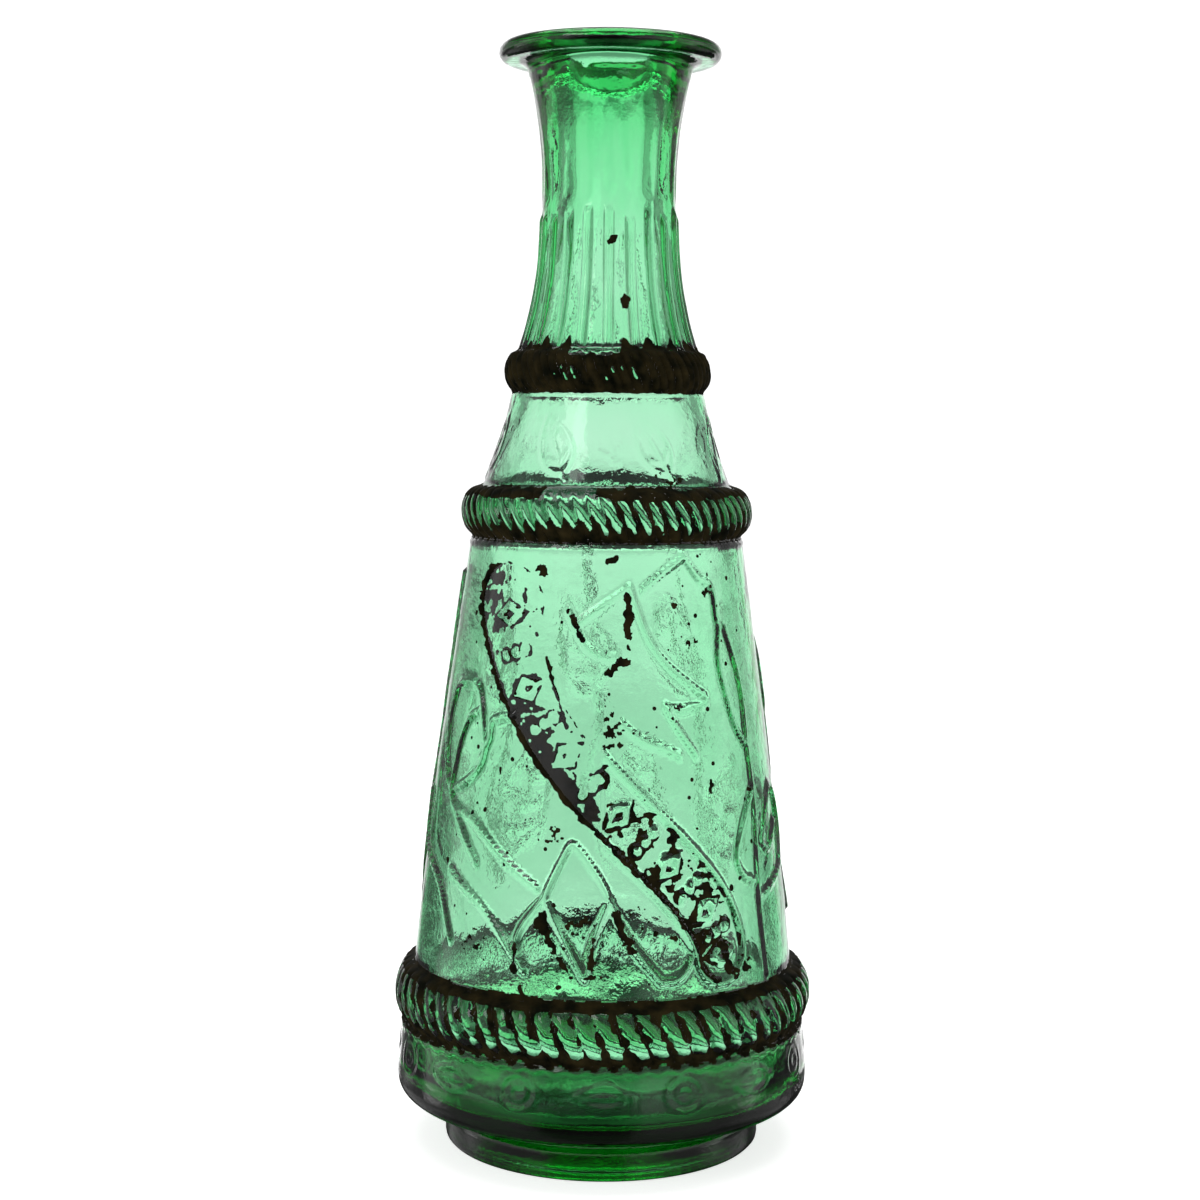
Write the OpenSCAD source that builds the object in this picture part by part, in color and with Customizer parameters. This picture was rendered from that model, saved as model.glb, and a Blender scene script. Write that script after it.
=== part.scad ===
// Mould-blown green glass bottle: a flared foot-to-neck cone on a ringed foot, with rope
// bands, a reeded neck, a flat lip and a slanting banner. It stands on z = 0, axis on Z,
// banner towards -Y. All sizes are in millimetres.

/* [Heights] */
// Height of the whole bottle
bottle_h = 282; // [276:1:290]
// Height of the foot ring
foot_h = 7.2; // [6:0.2:9]
// Bottom of the wide base band
band_z = 12; // [11:0.5:13]
// Bottom of the base rope band
base_rope_z = 32.2; // [30:0.1:34]
// Bottom of the tapered body
body_z = 46.6; // [45:0.1:48]
// Bottom of the shoulder rope band
shoulder_rope_z = 157.2; // [155:0.1:159]
// Bottom of the shoulder cone
shoulder_z = 170.2; // [169:0.1:172]
// Bottom of the neck rope band
neck_rope_z = 194; // [192:0.1:195]
// Bottom of the reeded neck
reeds_z = 204.6; // [203:0.1:206]
// Narrowest height of the neck, where the smooth throat starts
throat_z = 246; // [243:0.5:248]
// Underside of the lip, where it leaves the throat
lip_z = 275; // [273:0.2:275.4]

/* [Radii] */
// Outside radius of the foot ring
foot_r = 41; // [39:0.1:43]
// Radius of the groove above the foot ring
groove_r = 40; // [38:0.1:40.5]
// Widest radius of the base band
band_r = 53.4; // [52:0.1:54]
// Base band radius under its rope band
band_top_r = 52.1; // [51:0.1:53]
// Body radius at its bottom
body_bottom_r = 49.3; // [48:0.1:50.5]
// Body radius at its top
body_top_r = 34.9; // [34:0.1:36]
// Shoulder radius at its bottom
shoulder_bottom_r = 31.9; // [31:0.1:33]
// Shoulder radius at its top
shoulder_top_r = 24.7; // [24:0.1:25.5]
// Neck radius at the bottom of the reeds
reeds_bottom_r = 22.4; // [21.5:0.1:23]
// Narrowest outside radius of the neck
throat_r = 16.9; // [16:0.1:18]
// Radius where the throat meets the lip
throat_top_r = 20.9; // [20:0.1:22]
// Outside radius of the lip
lip_r = 28.2; // [27:0.1:30]
// Radius of the straight bore of the mouth
mouth_r = 11; // [9:0.1:11.5]

/* [Glass walls] */
// Wall of the body, shoulder and base band
wall = 4.4; // [3.5:0.1:5]
// Height of the inside floor above the table
floor_z = 15; // [14:0.5:17]
// Height of the hollow under the bottle
punt_h = 6; // [4:0.5:8]
// Radius of the lip's rounded rim
rim_r = 2.3; // [2:0.1:3]

/* [Rope bands] */
// Twisted strands in each rope band
strands = 64; // [48:4:72]
// How far the strands stand proud of the grooves between them
strand_h = 0.75; // [0.4:0.05:1]
// Crest radius of the base rope band
base_rope_r = 54.4; // [54:0.1:56]
// Crest radius of the shoulder rope band
shoulder_rope_r = 37.7; // [37:0.1:39]
// Crest radius of the neck rope band
neck_rope_r = 26.5; // [26:0.1:27.5]

/* [Relief] */
// Reeds standing on the lower neck
reeds = 20; // [16:2:24]
// Height of the reeds, leaves and banner over the glass around them
relief = 0.9; // [0.6:0.1:1.2]
// Width of the raised lines round the banner and the leaves
line_w = 1.6; // [1.2:0.1:2]
// Width of the banner across its raised edges
banner_w = 15; // [13:0.5:17]
// Thickness of the old dark paint
paint_t = 0.3; // [0.2:0.05:0.5]

/* [Hidden] */
$fn = 96;
eps = 0.01;
far = 200;          // larger than the bottle is wide
steps = 6;          // straight stretches along a profile that hardly bows
fine_steps = 12;    // straight stretches along the neck's curves
body_swell = 0.6;   // how far the body bows out of a straight cone
shoulder_dip = 0.7; // how far the shoulder bows in
heel_r = 4.6;       // rounding under the base band
rope_slant = 24;    // degrees the strands lean over
neck_curve = 2.6;   // how sharply the reeded neck flares downwards
throat_curve = 2;   // how sharply the throat flares upwards
banner_flare = 7;   // how far the banner widens at its ends
banner_len = 130;   // about how long the banner's middle line is
banner_steps = 32;  // straight stretches along each edge of the banner
motifs = 13;        // lozenges and rows of beads on the banner
motif_w = 6.4;      // their size across the banner
back_leaves = 8;
shoulder_sprigs = 7;
rosettes = 8;
rosette_w = 9;

// Handles of the banner's middle line, each [distance round the body from the front, height]
BANNER = [[-25, 154], [-34, 103], [39, 77], [31, 51]];

// Leaves on the front, each [azimuth from the front, height, length, width, lean]
FRONT_LEAVES = [[-62, 108, 28, 15, 0], [-42, 65, 32, 12, 48], [-9, 64, 23, 13, 8], [13, 62, 21, 12, 24],
                [21, 135, 30, 13, 38], [42, 146, 16, 11, -40], [51, 121, 30, 9, 10],
                [68, 82, 28, 18, 0], [-80, 136, 24, 12, -12], [77, 125, 24, 12, -8], [-78, 78, 24, 12, 14]];

GLASS = [0.36, 0.74, 0.50, 0.55];
DEEP_GLASS = [0.10, 0.45, 0.24, 0.75];
PAINT = [0.12, 0.09, 0.06];

// ---- profile curves: the outside radius of each stretch at height z ----

function mix(a, b, t) = a + (b - a) * t;
function part_way(z, low, high) = (z - low) / (high - low);
function heights(low, high, n) = [for (i = [0:n]) mix(low, high, i / n)];

function body_out(z) =
    let (t = part_way(z, body_z, shoulder_rope_z))
    mix(body_bottom_r, body_top_r, t) + body_swell * sin(180 * t);

function shoulder_out(z) =
    let (t = part_way(z, shoulder_z, neck_rope_z))
    mix(shoulder_bottom_r, shoulder_top_r, t) - shoulder_dip * sin(180 * t);

function reeds_out(z) =
    throat_r + (reeds_bottom_r - throat_r) * pow(part_way(z, throat_z, reeds_z), neck_curve);

function throat_out(z) =
    throat_r + (throat_top_r - throat_r) * pow(part_way(z, throat_z, lip_z), throat_curve);

// The inside of the reeded neck narrows smoothly from the shoulder's wall to the bore
function reeds_in(z) =
    let (t = part_way(z, reeds_z, throat_z))
    mix(neck_in_r, mouth_r, (1 - cos(180 * t)) / 2);

neck_in_r = reeds_bottom_r - wall - 0.6;
shoulder_in_r = shoulder_top_r - wall;

// ---- general shapes ----

// A ring turned from an outside and an inside line, each a list of [radius, height]
module turned(outside, inside) {
    rotate_extrude() polygon(concat(outside, [for (i = [len(inside) - 1:-1:0]) inside[i]]));
}

// A thin skin on the body cone, from its surface out to the height h
module body_skin(h) {
    zs = heights(body_z, shoulder_rope_z, steps);
    turned([for (z = zs) [body_out(z) + h, z]], [for (z = zs) [body_out(z), z]]);
}

module shoulder_skin(h) {
    zs = heights(shoulder_z, neck_rope_z, steps);
    turned([for (z = zs) [shoulder_out(z) + h, z]], [for (z = zs) [shoulder_out(z), z]]);
}

// Pushes a flat outline, drawn as seen from outside, into the glass from the azimuth given
module press_at(azimuth) {
    rotate([0, 0, azimuth]) translate([0, eps, 0]) rotate([90, 0, 0]) linear_extrude(far) children();
}

// ---- rope bands ----

// The bulge of a rope band is an arc through its two edges and its crest
function bulge_r(h, rise) = (h * h / 4 + rise * rise) / (2 * rise);

// One rope band between two heights: a bulged ring, hollow inside, with slanting strands
module rope_band(low, high, low_r, high_r, crest_r, low_in, high_in) {
    h = high - low;
    mid = (low + high) / 2;
    edge_r = (low_r + high_r) / 2;
    rise = crest_r - strand_h - edge_r;
    arc_r = bulge_r(h, rise);
    hub_r = crest_r - strand_h - arc_r;
    strand_r = PI * crest_r / strands * 0.92;
    difference() {
        union() {
            turned([[low_r, low], [edge_r, mid], [high_r, high]], [[low_in, low], [high_in, high]]);
            rotate_extrude() intersection() {
                translate([hub_r, mid]) circle(arc_r);
                translate([low_in + 1, low]) square([crest_r, h]);
            }
            for (i = [0:strands - 1]) rotate([0, 0, i * 360 / strands])
                strand(hub_r, mid, arc_r + strand_h, strand_r, h);
        }
        // trims the strands' ends to the band's two edges
        translate([0, 0, low - far]) cylinder(h = far, r = far);
        translate([0, 0, high]) cylinder(h = far, r = far);
    }
}

// A strand is a stretch of round bar bent over the bulge and leant to one side
module strand(hub_r, mid, top_r, strand_r, h) {
    reach = min(asin(min(h / 2 / (top_r - strand_r), 0.98)) + 4, 80);
    translate([hub_r, 0, mid]) rotate([rope_slant, 0, 0]) rotate([90, 0, 0]) rotate([0, 0, -reach])
        rotate_extrude(angle = 2 * reach) translate([top_r - strand_r, 0]) circle(strand_r, $fn = 24);
}

module base_rope_band() {
    color(GLASS) rope_band(base_rope_z, body_z, band_top_r, body_bottom_r, base_rope_r,
                           band_top_r - wall, body_bottom_r - wall);
}

module shoulder_rope_band() {
    color(GLASS) rope_band(shoulder_rope_z, shoulder_z, body_top_r, shoulder_bottom_r, shoulder_rope_r,
                           body_top_r - wall, shoulder_bottom_r - wall);
}

module neck_rope_band() {
    color(GLASS) rope_band(neck_rope_z, reeds_z, shoulder_top_r, reeds_bottom_r, neck_rope_r,
                           shoulder_in_r, neck_in_r);
}

// ---- plain turned glass ----

module foot_ring() {
    color(DEEP_GLASS) rotate_extrude() difference() {
        union() {
            translate([foot_r - 9, 0]) square([9 - 1.2, foot_h]);
            translate([foot_r - 2.4, 1.2]) square([2.4, foot_h - 1.2]);
            translate([foot_r - 1.2, 1.2]) circle(1.2, $fn = 32);
        }
        // the inner corner of the ring is rounded away towards the hollow
        translate([foot_r - 9, 0]) circle(2.5, $fn = 32);
    }
}

foot_in_r = foot_r - 9;

// The thick floor of the bottle, with a low dome underneath
module base_plate() {
    dome_r = (foot_in_r * foot_in_r + punt_h * punt_h) / (2 * punt_h);
    color(DEEP_GLASS) rotate_extrude() difference() {
        union() {
            translate([0, 1]) square([foot_in_r, foot_h - 1]);
            translate([0, foot_h]) square([groove_r, band_z - foot_h]);
            translate([0, band_z]) square([groove_r, floor_z - band_z]);
        }
        intersection() {
            translate([0, punt_h + 1 - dome_r]) circle(dome_r);
            square([foot_in_r, far]);
        }
    }
}

module base_band() {
    inner_r = band_r - wall - 0.8;
    fillet = 7;
    color(DEEP_GLASS) rotate_extrude() difference() {
        union() {
            translate([groove_r, band_z]) square([band_r - heel_r - groove_r, base_rope_z - band_z]);
            translate([band_r - heel_r, band_z + heel_r]) circle(heel_r, $fn = 64);
            polygon([[groove_r, band_z + heel_r], [band_r, band_z + heel_r],
                     [band_r, mix(band_z, base_rope_z, 0.45)], [band_top_r, base_rope_z],
                     [groove_r, base_rope_z]]);
        }
        // the inside wall, which turns into the floor on a rounded corner
        polygon([[groove_r - 1, floor_z + fillet], [inner_r, floor_z + fillet],
                 [band_top_r - wall, base_rope_z + eps], [groove_r - 1, base_rope_z + eps]]);
        translate([inner_r - fillet, floor_z + fillet]) circle(fillet, $fn = 64);
        translate([groove_r - 1, floor_z]) square([inner_r - fillet - groove_r + 1, fillet + eps]);
    }
}

module body_cone() {
    zs = heights(body_z, shoulder_rope_z, steps);
    color(GLASS) turned([for (z = zs) [body_out(z), z]], [for (z = zs) [body_out(z) - wall, z]]);
}

module shoulder_cone() {
    zs = heights(shoulder_z, neck_rope_z, steps);
    color(GLASS) turned([for (z = zs) [shoulder_out(z), z]], [for (z = zs) [shoulder_out(z) - wall, z]]);
}

// The lower neck, with half-round reeds that follow its curve and stop square at the throat
module reeded_neck() {
    zs = heights(reeds_z, throat_z, fine_steps);
    reed_top = throat_z - 6;
    reed_zs = heights(reeds_z, reed_top, fine_steps);
    color(GLASS) {
        turned([for (z = zs) [reeds_out(z), z]], [for (z = zs) [reeds_in(z), z]]);
        intersection() {
            turned([for (z = reed_zs) [reeds_out(z) + relief, z]], [for (z = reed_zs) [reeds_out(z) - 1, z]]);
            union() for (i = [0:reeds - 1]) rotate([0, 0, (i + 0.5) * 360 / reeds])
                translate([mouth_r, -1.2, reeds_z]) cube([far, 2.4, reed_top - reeds_z]);
        }
    }
}

// The throat holds the straight bore that a cork is pressed into
module throat() {
    zs = heights(throat_z, lip_z, fine_steps);
    color(DEEP_GLASS) difference() {
        rotate_extrude() polygon(concat([[0, throat_z]], [for (z = zs) [throat_out(z), z]], [[0, lip_z]]));
        translate([0, 0, throat_z - 1]) cylinder(h = lip_z - throat_z + 2, r = mouth_r);
    }
}

module lip() {
    rim_z = bottle_h - rim_r;
    cove = rim_z - rim_r - lip_z;
    mouth_edge = 1.2;
    color(DEEP_GLASS) rotate_extrude() difference() {
        union() {
            translate([mouth_r, rim_z - rim_r]) square([lip_r - rim_r - mouth_r, 2 * rim_r]);
            translate([lip_r - rim_r, rim_z]) circle(rim_r, $fn = 48);
            difference() {
                translate([mouth_r, lip_z]) square([throat_top_r + cove - mouth_r, cove + eps]);
                translate([throat_top_r + cove, lip_z]) circle(cove, $fn = 48);
            }
        }
        // the edge of the mouth is rounded over
        translate([mouth_r, bottle_h - mouth_edge]) difference() {
            translate([-eps, 0]) square([mouth_edge + eps, mouth_edge + eps]);
            translate([mouth_edge, 0]) circle(mouth_edge, $fn = 32);
        }
    }
}

// ---- relief on the body ----

// A point laid on the body, [distance round it from the front, height], as seen from the front
function seen(p) = [body_out(p[1]) * sin(p[0] / body_out(p[1]) * 180 / PI), p[1]];

// The banner's middle line is one curve with four handles, laid on the body
function curve(p, t) =
    pow(1 - t, 3) * p[0] + 3 * pow(1 - t, 2) * t * p[1] + 3 * (1 - t) * t * t * p[2] + pow(t, 3) * p[3];
function curve_way(p, t) =
    3 * pow(1 - t, 2) * (p[1] - p[0]) + 6 * (1 - t) * t * (p[2] - p[1]) + 3 * t * t * (p[3] - p[2]);

// Half the banner's width along its length: it flares towards both ends and closes round them
function banner_half(u, inset) =
    let (off = abs(2 * u - 1))
    (banner_w / 2 + banner_flare * pow(off, 4) - inset) * sqrt(max(1 - pow(off, 24), 0));

function banner_edge(u, side, inset) =
    let (t = inset / banner_len + (1 - 2 * inset / banner_len) * u)
    let (way = curve_way(BANNER, t) / norm(curve_way(BANNER, t)))
    seen(curve(BANNER, t) + side * banner_half(u, inset) * [way[1], -way[0]]);

// The banner's outline, drawn in by the inset; its points crowd towards the round ends
module banner_outline(inset) {
    us = [for (i = [0:banner_steps]) (1 - cos(180 * i / banner_steps)) / 2];
    polygon(concat([for (u = us) banner_edge(u, 1, inset)],
                   [for (i = [banner_steps - 1:-1:1]) banner_edge(us[i], -1, inset)]));
}

module banner_frame() {
    color(GLASS) intersection() {
        body_skin(relief);
        press_at(0) difference() {
            banner_outline(0);
            banner_outline(line_w);
        }
    }
}

// Hollow lozenges and rows of three beads in turn along the banner's middle
module banner_motifs() {
    bead = 1.9;
    for (i = [0:motifs - 1]) {
        t = mix(0.1, 0.92, i / (motifs - 1));
        way = curve_way(BANNER, t);
        translate(seen(curve(BANNER, t))) rotate(atan2(way[1], way[0])) {
            if (i % 2 == 0) rotate(45) difference() {
                square(motif_w * 0.75, center = true);
                square(motif_w * 0.3, center = true);
            }
            if (i % 2 == 1) for (k = [-1:1]) translate([0, k * motif_w * 0.37]) circle(d = bead, $fn = 32);
        }
    }
}

module banner_ornament() {
    color(GLASS) intersection() {
        body_skin(relief);
        press_at(0) banner_motifs();
    }
}

// A pointed leaf is where two circles cross; its edge and its midrib stand proud
module leaf_outline(l, w) {
    r = (l * l + w * w) / (4 * w);
    difference() {
        leaf_blade(r, r - w / 2);
        leaf_blade(r - line_w, r - w / 2);
    }
    square([line_w * 0.7, l * 0.55], center = true);
}

module leaf_blade(r, apart) {
    intersection() {
        translate([-apart, 0]) circle(r);
        translate([apart, 0]) circle(r);
    }
}

// One leaf, given as [azimuth from the front, height, length, width, lean]
module leaf(p) {
    press_at(p[0]) translate([0, p[1]]) rotate(p[4]) leaf_outline(p[2], p[3]);
}

module front_leaves() {
    color(GLASS) for (p = FRONT_LEAVES) intersection() {
        body_skin(relief);
        leaf(p);
    }
}

// Round the back the leaves stand in two rows, each leaning the other way to the last
module back_leaves() {
    color(GLASS) for (i = [0:back_leaves - 1]) let (odd = i % 2) intersection() {
        body_skin(relief);
        leaf([mix(104, 256, i / (back_leaves - 1)), odd ? 82 : 126, odd ? 30 : 28, odd ? 15 : 13,
              odd ? 18 : -18]);
    }
}

// Small leaves stand round the foot of the shoulder
module shoulder_leaves() {
    color(GLASS) for (i = [0:shoulder_sprigs - 1]) intersection() {
        shoulder_skin(relief * 0.7);
        leaf([i * 360 / shoulder_sprigs + 24, 181, 15, 8, 0]);
    }
}

// Round rosettes pressed faintly round the base band
module base_medallions() {
    low = mix(band_z, base_rope_z, 0.45);
    color(DEEP_GLASS) intersection() {
        turned([[band_r + relief / 2, low], [band_top_r + relief / 2, base_rope_z - 1]],
               [[band_r, low], [band_top_r + 0.1, base_rope_z - 1]]);
        for (i = [0:rosettes - 1]) press_at((i + 0.5) * 360 / rosettes)
            translate([0, mix(band_z, base_rope_z, 0.7)]) difference() {
                circle(d = rosette_w);
                circle(d = rosette_w - 2 * line_w);
            }
    }
}

// ---- old dark paint ----

// A film over part of a rope band's crest, from one azimuth for so many degrees
module crest_paint(low, high, low_r, high_r, crest_r, from, turn) {
    h = high - low;
    rise = crest_r - strand_h - (low_r + high_r) / 2;
    arc_r = bulge_r(h, rise) + strand_h;
    color(PAINT) rotate([0, 0, from]) rotate_extrude(angle = turn) intersection() {
        translate([crest_r - arc_r, (low + high) / 2]) difference() {
            circle(arc_r + paint_t);
            circle(arc_r);
        }
        translate([crest_r - rise * 0.8, low]) square([2 * rise, h]);
    }
}

module neck_band_paint() {
    crest_paint(neck_rope_z, reeds_z, shoulder_top_r, reeds_bottom_r, neck_rope_r, 0, 360);
}

// Most of the shoulder's paint is left on one side of the front
module shoulder_band_paint() {
    crest_paint(shoulder_rope_z, shoulder_z, body_top_r, shoulder_bottom_r, shoulder_rope_r, -84, 150);
}

// On the base the paint is left in the two corners over and under the rope band
module base_band_paint() {
    corner = 1.2;
    low = mix(band_z, base_rope_z, 0.45);
    under_r = mix(band_top_r, band_r, corner / (base_rope_z - low));
    color(PAINT) rotate_extrude() {
        polygon([[body_out(body_z), body_z], [body_out(body_z) + corner, body_z],
                 [body_out(body_z + corner) + paint_t, body_z + corner],
                 [body_out(body_z + corner), body_z + corner]]);
        polygon([[band_top_r, base_rope_z], [band_top_r + corner, base_rope_z],
                 [under_r + paint_t, base_rope_z - corner], [under_r, base_rope_z - corner]]);
    }
}

// In the banner it fills the ground between the motifs, below the upper bend
module banner_paint() {
    color(PAINT) intersection() {
        body_skin(paint_t);
        press_at(0) difference() {
            banner_outline(line_w);
            banner_motifs();
            translate([-far / 2, 112]) square(far);
            translate([-far / 2, -far + 62]) square(far);
        }
    }
}

foot_ring();
base_plate();
base_band();
base_rope_band();
body_cone();
shoulder_rope_band();
shoulder_cone();
neck_rope_band();
reeded_neck();
throat();
lip();
banner_frame();
banner_ornament();
front_leaves();
back_leaves();
shoulder_leaves();
base_medallions();
neck_band_paint();
shoulder_band_paint();
base_band_paint();
banner_paint();
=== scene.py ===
# %% [markdown]
# # Moulded green glass bottle
#
# A bottle like this is blown into an iron mould, so its whole shape is one turned profile with a
# pattern pressed into it: rope bands, reeds, a slanting banner and leaves. It could be sculpted,
# but a mould's surface is really a radius that depends on the direction and the height, so here
# it is worked out as one function and laid on grids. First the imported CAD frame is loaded.

import math

import bpy
import numpy as np
from mathutils import Matrix


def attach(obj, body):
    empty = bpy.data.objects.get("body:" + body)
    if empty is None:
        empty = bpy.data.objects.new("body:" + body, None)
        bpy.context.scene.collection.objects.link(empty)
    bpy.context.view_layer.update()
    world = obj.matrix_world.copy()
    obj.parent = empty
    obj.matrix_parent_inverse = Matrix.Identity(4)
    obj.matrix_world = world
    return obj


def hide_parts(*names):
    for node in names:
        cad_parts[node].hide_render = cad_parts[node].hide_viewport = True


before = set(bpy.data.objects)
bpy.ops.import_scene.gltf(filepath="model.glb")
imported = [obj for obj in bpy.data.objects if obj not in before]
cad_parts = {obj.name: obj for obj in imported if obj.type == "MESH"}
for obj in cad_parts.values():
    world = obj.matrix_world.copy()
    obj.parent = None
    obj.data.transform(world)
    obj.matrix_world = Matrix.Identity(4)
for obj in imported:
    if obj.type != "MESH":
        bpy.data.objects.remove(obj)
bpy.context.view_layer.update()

# %% [markdown]
# ## Sizes
#
# Lengths are worked out in millimetres, as a mould maker would, and turned to metres only when a
# mesh is made. Heights are above the table, radii are from the axis, and azimuth is counted from
# the front, towards the right.

# %% Driving sizes
MM = 0.001
BAND_Z, BASE_ROPE_Z, BODY_Z = 12.0, 32.2, 46.6
SHOULDER_ROPE_Z, SHOULDER_Z, NECK_ROPE_Z = 157.2, 170.2, 194.0
REEDS_Z, THROAT_Z, LIP_Z, TOP_Z = 204.6, 246.0, 275.0, 282.0
FOOT_R, FOOT_INNER_R, GROOVE_R, BAND_R, BAND_TOP_R = 41.0, 33.0, 40.0, 53.4, 52.1
BODY_BOTTOM_R, BODY_TOP_R, BODY_SWELL = 49.3, 34.9, 0.6
SHOULDER_BOTTOM_R, SHOULDER_TOP_R, SHOULDER_DIP = 31.9, 24.7, 0.7
REEDS_BOTTOM_R, THROAT_R, THROAT_TOP_R, LIP_R = 22.4, 16.9, 20.9, 28.2
MOUTH_R, WALL, HEEL_R, FLOOR_Z, DOME_H = 11.0, 4.4, 4.6, 15.0, 6.0
STRANDS, ROPE_SLANT = 64, math.radians(24)
BASE_ROPE_R, SHOULDER_ROPE_R, NECK_ROPE_R = 54.3, 37.6, 26.4
STRAND_H = 1.05
print("bottle height", TOP_Z, "mm, widest radius", BASE_ROPE_R, "mm")


def blend(a, b, t):
    """Straight mix of a and b by t."""
    return a + (b - a) * t


def ease(low, high, x):
    """Smooth step: 0 below low, 1 above high, three t squared minus two t cubed between."""
    t = np.clip((x - low) / (high - low), 0, 1)
    return t * t * (3 - 2 * t)


# %% [markdown]
# ## The turned profile
#
# The outside is straight cones and arcs that meet in corners. Molten glass never fills a corner
# quite sharp, so the corners are drawn sharp and then softened by averaging the radius over about
# a third of a millimetre of height. The inside is blown, not moulded, so it's smoother still.


# %% Outside and inside radius at a height
def rope_bulge(z, low, high, low_r, high_r, crest_r):
    """Arc of a circle over the chord from low to high; it rises to crest_r minus the strands."""
    edge_r = (low_r + high_r) / 2
    rise = crest_r - STRAND_H - edge_r
    arc_r = ((high - low) ** 2 / 4 + rise**2) / (2 * rise)
    off = np.clip(z - (low + high) / 2, -arc_r, arc_r)
    return edge_r + rise - arc_r + np.sqrt(arc_r**2 - off**2)


def part_way(z, low, high):
    """How far z is from low to high, held between 0 and 1."""
    return np.clip((z - low) / (high - low), 0, 1)


def sharp_outside(z):
    """Radius of the mould before softening, stretch by stretch from the base band to the lip."""
    body = part_way(z, BODY_Z, SHOULDER_ROPE_Z)
    shoulder = part_way(z, SHOULDER_Z, NECK_ROPE_Z)
    neck = part_way(z, THROAT_Z, REEDS_Z)
    throat = part_way(z, THROAT_Z, LIP_Z)
    band_mid = blend(BAND_Z, BASE_ROPE_Z, 0.45)
    base_rope = (BASE_ROPE_Z, BODY_Z, BAND_TOP_R, BODY_BOTTOM_R, BASE_ROPE_R)
    shoulder_rope = (SHOULDER_ROPE_Z, SHOULDER_Z, BODY_TOP_R, SHOULDER_BOTTOM_R, SHOULDER_ROPE_R)
    neck_rope = (NECK_ROPE_Z, REEDS_Z, SHOULDER_TOP_R, REEDS_BOTTOM_R, NECK_ROPE_R)
    return np.select(
        [z < BASE_ROPE_Z, z < BODY_Z, z < SHOULDER_ROPE_Z, z < SHOULDER_Z, z < NECK_ROPE_Z,
         z < REEDS_Z, z < THROAT_Z],
        [blend(BAND_R, BAND_TOP_R, part_way(z, band_mid, BASE_ROPE_Z)),
         rope_bulge(z, *base_rope),
         blend(BODY_BOTTOM_R, BODY_TOP_R, body) + BODY_SWELL * np.sin(np.pi * body),
         rope_bulge(z, *shoulder_rope),
         blend(SHOULDER_BOTTOM_R, SHOULDER_TOP_R, shoulder) - SHOULDER_DIP * np.sin(np.pi * shoulder),
         rope_bulge(z, *neck_rope),
         THROAT_R + (REEDS_BOTTOM_R - THROAT_R) * neck**2.6],
        THROAT_R + (THROAT_TOP_R - THROAT_R) * throat**2,
    )


def softened(values, spread):
    """Average with a bell curve of that spread, in table steps; the ends are held."""
    reach = int(spread * 4)
    bell = np.exp(-0.5 * (np.arange(-reach, reach + 1) / spread) ** 2)
    return np.convolve(np.pad(values, reach, mode="edge"), bell / bell.sum(), "valid")


TABLE_Z = np.arange(10, 280, 0.1)
OUTSIDE = softened(sharp_outside(TABLE_Z), 3.5)
INSIDE_POINTS = np.array([[22, BAND_R - WALL - 0.8], [BASE_ROPE_Z, BAND_TOP_R - WALL],
                          [BODY_Z, BODY_BOTTOM_R - WALL], [SHOULDER_ROPE_Z, BODY_TOP_R - WALL],
                          [SHOULDER_Z, SHOULDER_BOTTOM_R - WALL], [NECK_ROPE_Z, SHOULDER_TOP_R - WALL],
                          [REEDS_Z, REEDS_BOTTOM_R - WALL - 0.6], [213, 15.2], [225, 13.8],
                          [THROAT_Z, MOUTH_R], [280, MOUTH_R]])
INSIDE = softened(np.interp(TABLE_Z, *INSIDE_POINTS.T), 25)


def outside(z):
    """Softened radius of the turned outside at a height, before any relief."""
    return np.interp(z, TABLE_Z, OUTSIDE)


def inside(z):
    """Radius of the blown inside at a height."""
    return np.interp(z, TABLE_Z, INSIDE)


print("walls (mm):", [(z, round(float(outside(z) - inside(z)), 1)) for z in (30, 60, 150, 180, 230, 260)])

# %% [markdown]
# ## Uneven glass
#
# Hand-worked glass is never flat: it chills against the iron in soft ripples, and that is what
# makes the light dance behind it. The ripples are random values on a lattice wrapped round the
# bottle, eased between neighbours, at two or three sizes.


# %% Ripples round the bottle
def ripple(az, z, size, seed, around_r=40.0):
    """Smooth random height from -1 to 1: lattice values size mm apart, mixed with smooth steps."""
    around = max(6, round(2 * math.pi * around_r / size))
    lattice = np.random.default_rng(seed).uniform(-1, 1, (int(300 / size) + 4, around))
    u = az / (2 * np.pi) * around
    v = np.clip(z / size, 0, lattice.shape[0] - 2)
    col, row = np.floor(u).astype(int), np.floor(v).astype(int)
    fu, fv = ease(0, 1, u - col), ease(0, 1, v - row)
    left, right = col % around, (col + 1) % around
    low = blend(lattice[row, left], lattice[row, right], fu)
    high = blend(lattice[row + 1, left], lattice[row + 1, right], fu)
    return blend(low, high, fv)


def ragged(az, z, size, seed):
    """Three sizes of ripple, each half as large and half as strong as the last."""
    return sum(ripple(az, z, size / 2**k, seed + k) / 2**k for k in range(3)) / 1.75


# %% [markdown]
# ## Rope bands and reeds
#
# A rope band is many slanting half-round strands. Each place on the band belongs to a strand by
# its phase: azimuth times the number of strands, plus a share of the height for the slant.


# %% Strands and reeds
ROPES = [(BASE_ROPE_Z, BODY_Z, BASE_ROPE_R), (SHOULDER_ROPE_Z, SHOULDER_Z, SHOULDER_ROPE_R),
         (NECK_ROPE_Z, REEDS_Z, NECK_ROPE_R)]
REEDS, REED_W, REED_TOP = 20, 2.7, 240.0


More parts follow.
